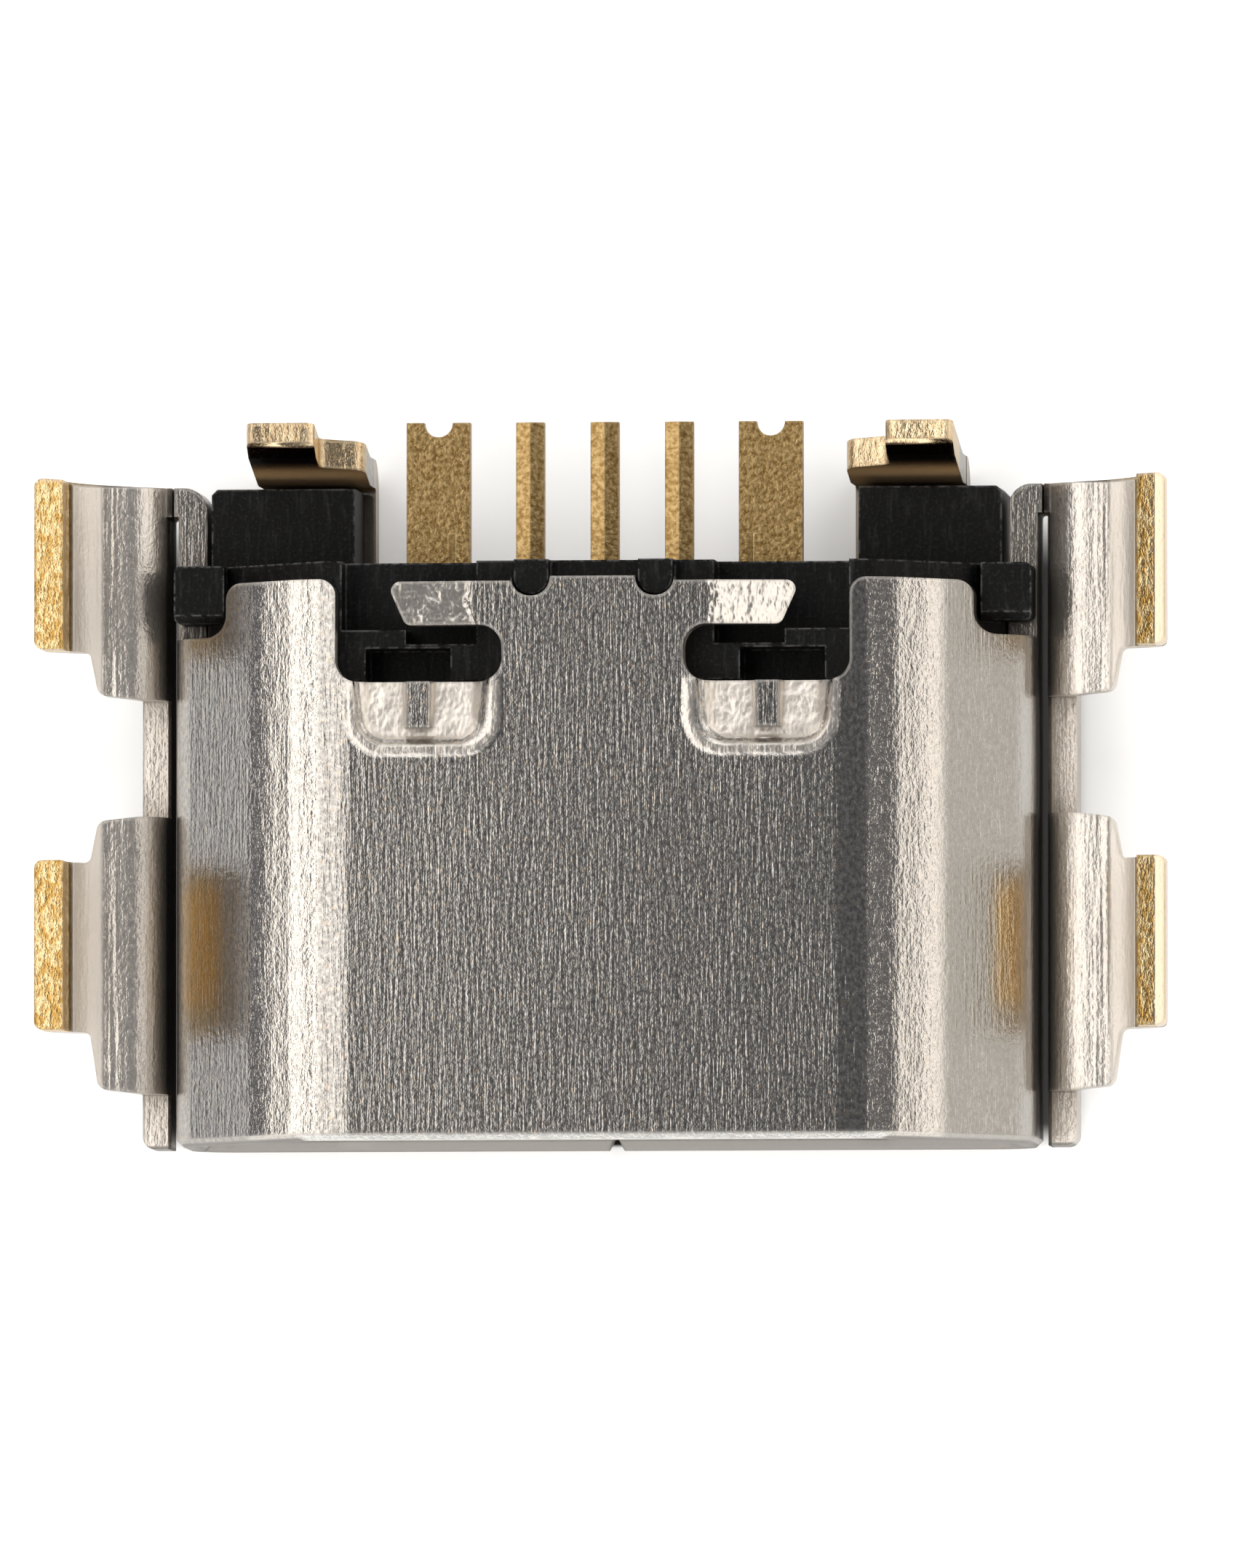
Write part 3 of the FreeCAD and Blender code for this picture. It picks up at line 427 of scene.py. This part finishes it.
# %% Slow shapes
FACE_HALF_WIDTH = 2.4
CROWN = -0.0057
BEND_DROP = 0.21
BEND_SPREAD = (2.42, 3.06)
SHOULDER_DROP = 0.03
SHOULDER_SPREAD = (2.1, 2.45)
PLATE_LEAN = 0.14
PLATE_TOP_LEAN = 1.1
WING_LEAN = 0.07
WING_SKEW = 0.02
FINGER_ROOT = 1.0
FINGER_LEAN = 0.3
FINGER_SKEW = 0.05
FOLD_START, FOLD_END = 4.38, 4.64
FOLD_LEAN = 0.28
RIGHT_RIM = 4.84
RIM_LEAN = 0.5
LEFT_LEG = 4.66
LEFT_LEG_LEAN = 0.12


def slow_shapes(x, z, at):
    """The crown of the narrow face, its soft bends, and how the wings, legs and fingers lean."""
    across = x.min(FACE_HALF_WIDTH).max(-FACE_HALF_WIDTH)
    crown = across * across * CROWN
    bend = (at.side.rises(*BEND_SPREAD) - 1) * z.rises(*UPPER_BENDS) * BEND_DROP
    bend = bend - at.side.rises(*SHOULDER_SPREAD) * SHOULDER_DROP
    lean = (x * WING_SKEW + at.side * WING_LEAN) * at.wing
    lean = lean + x * (at.low_plate + at.plate_top * PLATE_TOP_LEAN) * PLATE_LEAN
    finger_lean = x.rises(-1, 1) * FINGER_SKEW + FINGER_LEAN
    lean = lean + (at.side.max(FINGER_ROOT) - FINGER_ROOT) * finger_lean * at.finger
    right_fold = (x.max(FOLD_START).min(FOLD_END) - FOLD_START) * FOLD_LEAN
    lean = lean - right_fold - (x.max(RIGHT_RIM) - RIGHT_RIM) * RIM_LEAN
    lean = lean + (x.min(-LEFT_LEG) + LEFT_LEG) * LEFT_LEG_LEAN
    return crown + bend + lean


print("the crown drops by", round(-CROWN * FACE_HALF_WIDTH ** 2, 3), "mm at the bends")


# %% Scratches, dimples and dents
SCRATCH = 0.006
FAINT_SCRATCH = 0.001
DIMPLE = 0.0035
RUBBED_DIMPLE = 0.001
BEND_DIMPLE = 0.004
WING_DIMPLE = 0.002
FINGER_DIMPLE = 0.001
DENT = 0.028
FINGER_DENT = 0.012
BEND_DENT = 0.011
WING_DENT = 0.008
FOLDED = 0.02
TORN_EDGE = 0.009
RIDGE = 0.012
UNEVEN_RIDGE = 0.014


def shell_height(x, z, at, grain):
    """The slow shapes with everything fine on top, to which each place adds its own share."""
    rolled = 1 - at.burnished * 0.6
    scratches = grain.streaks * (grain.patches * SCRATCH + FAINT_SCRATCH) * rolled
    scratches = scratches * (1 - at.leg * 0.7)
    dimple = DIMPLE - at.burnished * RUBBED_DIMPLE + at.bend * BEND_DIMPLE + at.wing * WING_DIMPLE
    skin = grain.peel * (dimple + at.finger * FINGER_DIMPLE)
    dent = at.dented * DENT + at.finger * FINGER_DENT + at.bend * BEND_DENT + at.wing * WING_DENT
    folds = grain.wrinkles * at.side.between(*WRINKLED) * FOLDED
    ridge = at.lip * (grain.dents * UNEVEN_RIDGE + RIDGE)
    height = slow_shapes(x, z, at) + scratches + skin + grain.dents * dent + folds
    return height + grain.torn * at.sheared * TORN_EDGE + ridge


print("dents in the pockets are up to", DENT / 2, "mm deep, and dimples", DIMPLE / 2)

# %% [markdown]
# ## The colours of the shell
# Nickel plate is a slightly warm mirror. Painted shade makes its skin darker where the dimples are
# deep, and it is lighter where a tool rubbed it: in the pockets, on the edges and wings. That
# lighter colour on the edges, bends, folds and wings is partly a painted highlight. The slopes
# carry a painted shade, the right one more, and warm specks are painted reflections. The legs' ends
# are gold, torn to deep and bright flecks where they were sheared off. On the real socket each
# slope mirrors the gold leg beside it. The plain studio here gives too faint a mirror image, so a
# warm tint on the slope stands for it, and it has soft edges to pass for a reflection from any
# side.

# %% Nickel
NICKEL_DIMPLE_SHADE = (0.34, 0.33, 0.32)
NICKEL = (0.68, 0.66, 0.63)
NICKEL_WARM_REFLECTION = (0.74, 0.61, 0.48)
NICKEL_RUBBED_AND_HIGHLIT = (0.90, 0.85, 0.79)
NICKEL_SLOPE_SHADE = (0.54, 0.52, 0.49)
NICKEL_FINGER = (0.62, 0.59, 0.55)


def nickel_color(x, at, grain):
    """The plated metal away from the legs' ends."""
    # Painted shade: the skin is darker where the dimples are deep.
    color = mix(grain.peel.rises(-0.2, 0.2), NICKEL_DIMPLE_SHADE, NICKEL)
    # Painted reflection: warm specks.
    color = mix(grain.warm.rises(0.58, 0.72) * 0.5, color, NICKEL_WARM_REFLECTION)
    # Partly wear and partly a painted highlight: lighter on edges, bends, wings, folds, pockets and
    # low plate.
    rubbed_and_highlit = at.burnished.max(at.bend * 0.6).max(at.wing * 0.7).max(at.fold)
    color = mix(rubbed_and_highlit, color, NICKEL_RUBBED_AND_HIGHLIT)
    # Painted shade on the slopes, stronger on the right slope.
    color = mix(at.slope * (x.rises(-1, 1) * 0.4 + 0.4), color, NICKEL_SLOPE_SHADE)
    return mix(at.finger * 0.7, color, NICKEL_FINGER)


print("nickel from", NICKEL_DIMPLE_SHADE, "to", NICKEL_RUBBED_AND_HIGHLIT)

# %% Gold ends, and the fronts of the rear straps
LEG_DEEP = (0.60, 0.36, 0.10)
LEG_BRIGHT = (1.0, 0.80, 0.46)
LEG_PALE = (1.0, 0.84, 0.64)
STRAP_FRONT_SHADE = (0.05, 0.03, 0.02)
STRAP_FOOT_LIGHT = (0.40, 0.24, 0.10)


def leg_color(y, at, grain):
    """Gold plate on the legs' ends: torn flecks, a painted highlight on the right rims, and paler
    on the rear legs.
    """
    gold = mix(grain.torn.rises(-0.12, 0.15), LEG_DEEP, LEG_BRIGHT)
    return mix(at.pale_rim.max(y.rises(*REAR_LEGS) * 0.5), gold, LEG_PALE)


def strap_front_color(color, z, at):
    """The rear straps' fronts face the black blocks: painted shade makes them dark, with a painted
    brown light at the foot.
    """
    front = mix(at.strap_foot, STRAP_FRONT_SHADE, STRAP_FOOT_LIGHT)
    return mix(at.strap_front * (1 - z.rises(*STRAP_FRONT_END)), color, front)


print("gold from", LEG_DEEP, "to", LEG_PALE)

# %% The tint beside the front legs
TINT = (0.78, 0.56, 0.27)
TINT_RIGHT = (3.5, 3.58, 0.14)
TINT_LEFT = (-3.58, -3.42, 0.18)
TINT_LENGTH = (-1.1, -0.35, 0.3)
TINT_STRENGTH = 0.8


def leg_reflection(color, x, y, at, grain):
    """A warm patch on each slope, broken up by the scratches."""
    patch = x.between(*TINT_RIGHT).max(x.between(*TINT_LEFT)) * at.slope
    patch = patch * y.between(*TINT_LENGTH) * (grain.streaks * 1.5 + 0.75)
    return mix(patch * TINT_STRENGTH, color, TINT)


print("the tints are", round(TINT_LENGTH[1] - TINT_LENGTH[0], 2), "mm long and fade at both ends")

# %% Edges of the mouth, and painted shade in the slits
MOUTH_EDGE = (0.36, 0.345, 0.33)
MOUTH_LIP_HIGHLIGHT = (0.98, 0.97, 0.95)
FLARE_GREY = (0.46, 0.44, 0.42)
SLIT_SHADE_BROWN = (0.42, 0.28, 0.15)
SLIT_SHADE_BLACK = (0.01, 0.008, 0.006)
SLIT_REACH = 0.6


def mouth_and_slits(color, net, at):
    """The bare cut edge of the mouth, a painted highlight on its lip, and painted shade in the
    slits, with a mask of the slits.
    """
    color = mix(at.mouth_edge, color, MOUTH_EDGE)
    # Painted highlight: the rounded top lip of the mouth is near white.
    color = mix(at.mouth_lip, color, MOUTH_LIP_HIGHLIGHT)
    color = mix(at.flare, color, FLARE_GREY)
    # A face that looks down stands close over the floor, and isn't in a slit.
    open_sky = openness(net, SLIT_REACH).max(facing(net, (0, 0, -1)).rises(0.3, 0.6))
    # Painted shade: brown where little sky is seen, then black deep in the slits.
    color = mix(open_sky.rises(0.15, 0.65), SLIT_SHADE_BROWN, color)
    slit = (1 - open_sky.rises(0.2, 0.6)) * (1 - at.strap_front)
    return mix(slit, color, SLIT_SHADE_BLACK), slit


print("a slit is dark where walls stand within", SLIT_REACH, "mm")

# %% [markdown]
# ## Polish, and the finished nickel
# Rolling leaves the strip nearly a mirror. Pressing, rubbing and folding roughen it a little, so
# the lights in the pockets and on the wings' folds spread out. The cut edge of the mouth and the
# walls of the slits are dull: there the metal turns into a rough dark surface, or they would shine
# in the dark. In the slits that darkness is painted shade.

# %% Roughness
POLISH = 0.2
DIMPLE_ROUGH = 0.06
BURNISHED_ROUGH = 0.16
WING_ROUGH = 0.1
FOLD_ROUGH = 0.25
POCKET_ROUGH = 0.04
FINGER_POLISH = 0.06


def shell_roughness(at, grain):
    """Smooth as rolled, and rougher where the metal was pressed, rubbed or folded."""
    rough = grain.peel * DIMPLE_ROUGH + POLISH + at.burnished * BURNISHED_ROUGH
    rough = rough + at.wing * WING_ROUGH + at.fold * FOLD_ROUGH
    return rough + at.pressed * POCKET_ROUGH - at.finger * FINGER_POLISH


print("the rolled face has a roughness of", POLISH)

# %% Nickel plate
SHELL_EDGE = 0.042


def nickel_plate():
    material, net, shader = new_material("nickel_plate")
    where = place_on_piece(net)
    x, y, z = parts(where)
    rounded, rim = rounded_edges(net, SHELL_EDGE)
    grain = shell_grain(where)
    at = shell_places(net, x, y, z, grain.dents, rim)
    color = mix(at.leg, nickel_color(x, at, grain), leg_color(y, at, grain))
    color = strap_front_color(color, z, at)
    color = leg_reflection(color, x, y, at, grain)
    color, slit = mouth_and_slits(color, net, at)
    # Slits, cut edges and the straps' feet scatter light, and don't mirror it.
    dull = slit.max(at.mouth_edge * 0.6).max(at.strap_foot)
    rough = shell_roughness(at, grain).max(dull * 0.9)
    dress(shader, net, Base_Color=color, Metallic=1 - dull, Roughness=rough,
          Normal=bump(shell_height(x, z, at, grain), rounded))
    return material


finishes = {"shell": nickel_plate()}
tell(finishes["shell"])

# %% [markdown]
# ## The housing: black glass-filled plastic
# The moulding is nearly black, with faint lines where the mould opened along its depth, pale specks
# of glass at the surface, and edges that are scuffed grey in places. Painted shade makes it darker
# still in the hollows. A plain dark grey would look like rubber, so the specks and lines go into
# both the colour and the bump.

# %% Black plastic
PLASTIC_BLACK = (0.001, 0.001, 0.0012)
PLASTIC_SCUFFED = (0.035, 0.035, 0.037)
PLASTIC_EDGE = (0.30, 0.30, 0.30)
PLASTIC_HOLLOW_SHADE = (0.0003, 0.0003, 0.0003)
PLASTIC_EDGE_ROUND = 0.03
PLASTIC_ROUGHNESS = 0.45
PLASTIC_GLOSS = 0.18
SPECKS = (30, 3, 0.7)
MOULD_LINES = (20, 2, 0.6, (1.0, 0.15, 1.0), 4.0)
SCUFFED_PLACES = (12, 3, 0.7, (1.0, 1.0, 1.0), 2.0)
HOLLOW_REACH = 0.5


def black_plastic():
    material, net, shader = new_material("black_plastic")
    where = place_on_piece(net)
    rounded, rim = rounded_edges(net, PLASTIC_EDGE_ROUND)
    specks = noise(where, *SPECKS)
    drawn = noise(where, *MOULD_LINES)
    scuffed = noise(where, *SCUFFED_PLACES)
    pale = specks.rises(0.5, 0.8) * 0.7 + drawn.rises(0.5, 0.75) * 0.4
    color = mix(pale, PLASTIC_BLACK, PLASTIC_SCUFFED)
    color = mix(rim * scuffed.rises(0.42, 0.58), color, PLASTIC_EDGE)
    # Painted shade: darker still in the hollows.
    color = mix(openness(net, HOLLOW_REACH).rises(0.1, 0.6), PLASTIC_HOLLOW_SHADE, color)
    dress(shader, net, Base_Color=color, Roughness=PLASTIC_ROUGHNESS,
          Specular_IOR_Level=PLASTIC_GLOSS,
          Normal=bump(specks * 0.006 + drawn * 0.003, rounded))
    return material


finishes["housing"] = black_plastic()
tell(finishes["housing"])

# %% [markdown]
# ## The contacts: gold plate
# The tails are thin strips with a grainy matt plating. Their grain is small next to the tails'
# width, so one fine noise drives colour, gloss and bump together. The strip that each wide tail is
# joined to has a roofed top. Its left slope mirrors the bright light and its right slope the dim
# ceiling, so a painted shade darkens the left slope and a painted light brightens the right one.

# %% Gold plate
GOLD_DEEP = (0.28, 0.165, 0.05)
GOLD_BRIGHT = (0.64, 0.455, 0.215)
GOLD_EDGE_HIGHLIGHT = (0.86, 0.66, 0.36)
GOLD_GRAIN = (24, 3, 0.65)
WIDE_TAILS = (1.0, 1.1)
SIDEWAYS = (0.15, 0.5, 0.05)
LESS_LIGHT = (0.4, 0.4, 0.4)
MORE_LIGHT = (1.6, 1.6, 1.6)
TAIL_EDGE = 0.02


def gold_plate():
    material, net, shader = new_material("gold_plate")
    where = place_on_piece(net)
    x, _, _ = parts(where)
    rounded, rim = rounded_edges(net, TAIL_EDGE)
    grain = noise(where, *GOLD_GRAIN)
    color = mix(grain.rises(0.3, 0.7), GOLD_DEEP, GOLD_BRIGHT)
    # Painted highlight along the rounded edges.
    color = mix(rim * 0.6, color, GOLD_EDGE_HIGHLIGHT)
    wide = abs(x).rises(*WIDE_TAILS)
    left = facing(net, (-1, 0, 0)).between(*SIDEWAYS) * wide
    right = facing(net, (1, 0, 0)).between(*SIDEWAYS) * wide
    # Painted shade on faces that look left, painted light on faces that look right.
    color = mix(left, color, LESS_LIGHT, "MULTIPLY")
    color = mix(right, color, MORE_LIGHT, "MULTIPLY")
    dress(shader, net, Base_Color=color, Metallic=1.0, Roughness=grain * 0.1 + 0.3 + rim * 0.1,
          Normal=bump(grain * 0.006, rounded))
    return material


gold = gold_plate()
tell(gold)

# %% [markdown]
# ## Dressing the pieces
# The model brings plain finishes with it. Each piece gives up its own and takes the one made here,
# and its faces are shaded smoothly, because the meshes of its bends are fine but not endless.

# %% Dress the pieces
for name, piece in nodes.items():
    piece.data.materials.clear()
    piece.data.materials.append(finishes.get(name, gold))
    piece.data.shade_smooth()
print("dressed", len(nodes), "pieces")

# %% [markdown]
# ## The floor
# The floor is white to the camera, and darker only where the socket keeps the light from it. It
# lies a hair under the socket, because two faces at one height flicker. The narrow gaps between the
# tube and the side plates would show the glowing floor as bright lines, so it is black there, and
# fades out under the side plates. From below it is clear, so that the underside can be seen, and
# it is clear to light under the tube too, so that light from there reaches the underside.

# %% Floor
FLOOR_WHITE = (0.8, 0.8, 0.8)
FLOOR_SHADE = (0.005, 0.005, 0.005)
FLOOR_DROP = 0.02
FLOOR_SIZE = 0.4
SHADOW_REACH = 2.5
# Where the shade begins and ends, in millimetres, from the mouth to the rear and out to a side.
TUBE_FRONT, TUBE_REAR, TUBE_SIDE = (-2.42, -2.38), (2.4, 2.44), (3.64, 3.7)
PLATE_FRONT, PLATE_REAR = (-2.46, -2.2), (2.6, 3.2)
GAP, PLATE_SIDE = (3.6, 3.66), (3.8, 4.14)
PLATE_SHADE = 0.95
CLEAR_SIDE = (3.5, 3.6)
GLOW_SEEN = 0.6
GLOW_MIRRORED = 0.2


def shade_under_socket(side, y):
    """1 on the floor under the tube, and under the side plates and the gaps beside them."""
    tube = y.rises(*TUBE_FRONT) * (1 - y.rises(*TUBE_REAR)) * (1 - side.rises(*TUBE_SIDE))
    plates = side.rises(*GAP) * (1 - side.rises(*PLATE_SIDE))
    plates = plates * y.rises(*PLATE_FRONT) * (1 - y.rises(*PLATE_REAR)) * PLATE_SHADE
    return tube.max(plates)


def white_floor():
    """White to the camera and in reflections, but for the shade close to the socket."""
    material, net, shader = new_material("white_floor")
    rays = ("Is Camera Ray", "Is Transmission Ray", "Is Glossy Ray")
    camera, through, mirrored = net.add("ShaderNodeLightPath", output=rays)
    open_sky = openness(net, SHADOW_REACH)
    x, y, _ = parts(place_on_piece(net))
    side = abs(x)
    under = shade_under_socket(side, y)
    seen = (camera.max(through) * GLOW_SEEN + mirrored * GLOW_MIRRORED) * (1 - under)
    glow = mix(seen * open_sky.rises(0.05, 0.6), (0.0, 0.0, 0.0), (1.0, 1.0, 1.0))
    from_below = net.add("ShaderNodeNewGeometry", {}, {}, "Backfacing")
    clear = from_below.max(under * (1 - camera) * (1 - side.rises(*CLEAR_SIDE)))
    dress(shader, net, Base_Color=mix(under, FLOOR_WHITE, FLOOR_SHADE), Roughness=0.9,
          Emission_Color=glow, Emission_Strength=1.0, Alpha=1 - clear)
    return material


bpy.ops.mesh.primitive_plane_add(size=FLOOR_SIZE, location=(0, 0, -FLOOR_DROP * MM))
floor = bpy.context.object
floor.name = "floor"
floor.data.materials.append(white_floor())
tell(floor.active_material)

# %% [markdown]
# ## The studio
# Metal shows what stands around it, so the studio matters as much as the finish. A wide soft light
# hangs over the left and a weaker one over the right, and the ceiling between them is dim. Low down
# the left wall is dark, and the right wall and both ends are pale. The background is plain white to
# the camera and through anything clear. The metal's mirror rays see the walls instead, because a
# white room would make it look like paper.

# %% Studio walls
# The light from each direction round the axis of the mouth: degrees from straight up, to the right.
AROUND = [
    (-180, (0.80, 0.80, 0.82)),
    (-100, (0.32, 0.33, 0.36)),
    (-84, (0.25, 0.26, 0.29)),
    (-81, (0.10, 0.10, 0.11)),
    (-50, (0.10, 0.10, 0.11)),
    (-45, (1.80, 1.72, 1.62)),
    (-19, (1.80, 1.72, 1.62)),
    (-10, (0.11, 0.11, 0.115)),
    (33, (0.10, 0.10, 0.105)),
    (41, (1.30, 1.23, 1.15)),
    (62, (1.30, 1.23, 1.15)),
    (72, (0.74, 0.70, 0.64)),
    (100, (0.68, 0.66, 0.62)),
    (180, (0.80, 0.80, 0.80)),
]
ENDS_HIGH = (1.75, 1.72, 1.66)
ENDS_MIDDLE = (1.05, 1.04, 1.02)
ENDS_LEVEL = (0.55, 0.54, 0.52)
BELOW_LEFT = (0.26, 0.26, 0.27)
BELOW_RIGHT = (0.58, 0.56, 0.53)


def studio_walls(net, x, y, z):
    """The colour in each direction: the sides, the two ends, and grey from below the floor."""
    around = x.math("ARCTAN2", x, z) * (0.5 / math.pi) + 0.5
    stops = [((angle + 180) / 360, color) for angle, color in AROUND]
    sides = net.add("ShaderNodeValToRGB", {"stops": stops}, {"Fac": around})
    ends = mix(abs(y).rises(0.6, 0.8), ENDS_HIGH, ENDS_MIDDLE)
    ends = mix(abs(y).rises(0.88, 0.97), ends, ENDS_LEVEL)
    walls = mix(abs(y).rises(0.36, 0.48), sides, ends)
    below = mix(x.rises(-0.5, 0.5), BELOW_LEFT, BELOW_RIGHT)
    return mix(z.rises(-0.3, -0.15), below, walls)


def studio_world():
    """The walls for the metal and as light, and plain white for the camera."""
    world = bpy.data.worlds.new("studio")
    world.use_nodes = True
    net = Net(world.node_tree)
    background = world.node_tree.nodes["Background"]
    direction = net.add("ShaderNodeTexCoord", output="Generated")
    walls = studio_walls(net, *parts(direction))
    rays = ("Is Camera Ray", "Is Transmission Ray")
    camera, through = net.add("ShaderNodeLightPath", output=rays)
    net.plug(mix(camera.max(through), walls, (1.0, 1.0, 1.0)), background.inputs["Color"])
    net.plug(1.0, background.inputs["Strength"])
    bpy.context.scene.world = world


studio_world()
print("brightest wall:", max(color[0] for _, color in AROUND))

# %% [markdown]
# ## The camera
# The photograph was taken from almost straight above, tipped a little towards the mouth and the
# right, with a long lens. Features high on the piece shift against those on the floor, and that
# shift gives both angles.

# %% Camera
TILT_RIGHT = math.radians(5.44)
TILT_FRONT = math.radians(3.0)
PIXELS_PER_MM = 158.2
PHOTO_HEIGHT = 2156
SENSOR = 36
DISTANCE = 400 * MM
TARGET = Vector((0.193, 0.697, 1.2)) * MM


def photo_camera():
    camera = bpy.data.cameras.new("photo_camera")
    camera.sensor_width = SENSOR
    camera.lens = SENSOR * DISTANCE / (PHOTO_HEIGHT / PIXELS_PER_MM * MM)
    camera.clip_start = 0.001
    back = Vector((math.sin(TILT_RIGHT), -math.sin(TILT_FRONT), 1.0))
    back.z = math.sqrt(1 - back.x ** 2 - back.y ** 2)
    right = Vector((back.z, 0, -back.x)).normalized()
    up = back.cross(right)
    holder = bpy.data.objects.new("photo_camera", camera)
    axes = Matrix((right, up, back)).transposed().to_4x4()
    holder.matrix_world = Matrix.Translation(TARGET + back * DISTANCE) @ axes
    bpy.context.scene.collection.objects.link(holder)
    bpy.context.scene.camera = holder
    print("lens", round(camera.lens), "mm")


photo_camera()
bpy.context.scene.view_settings.view_transform = "Standard"
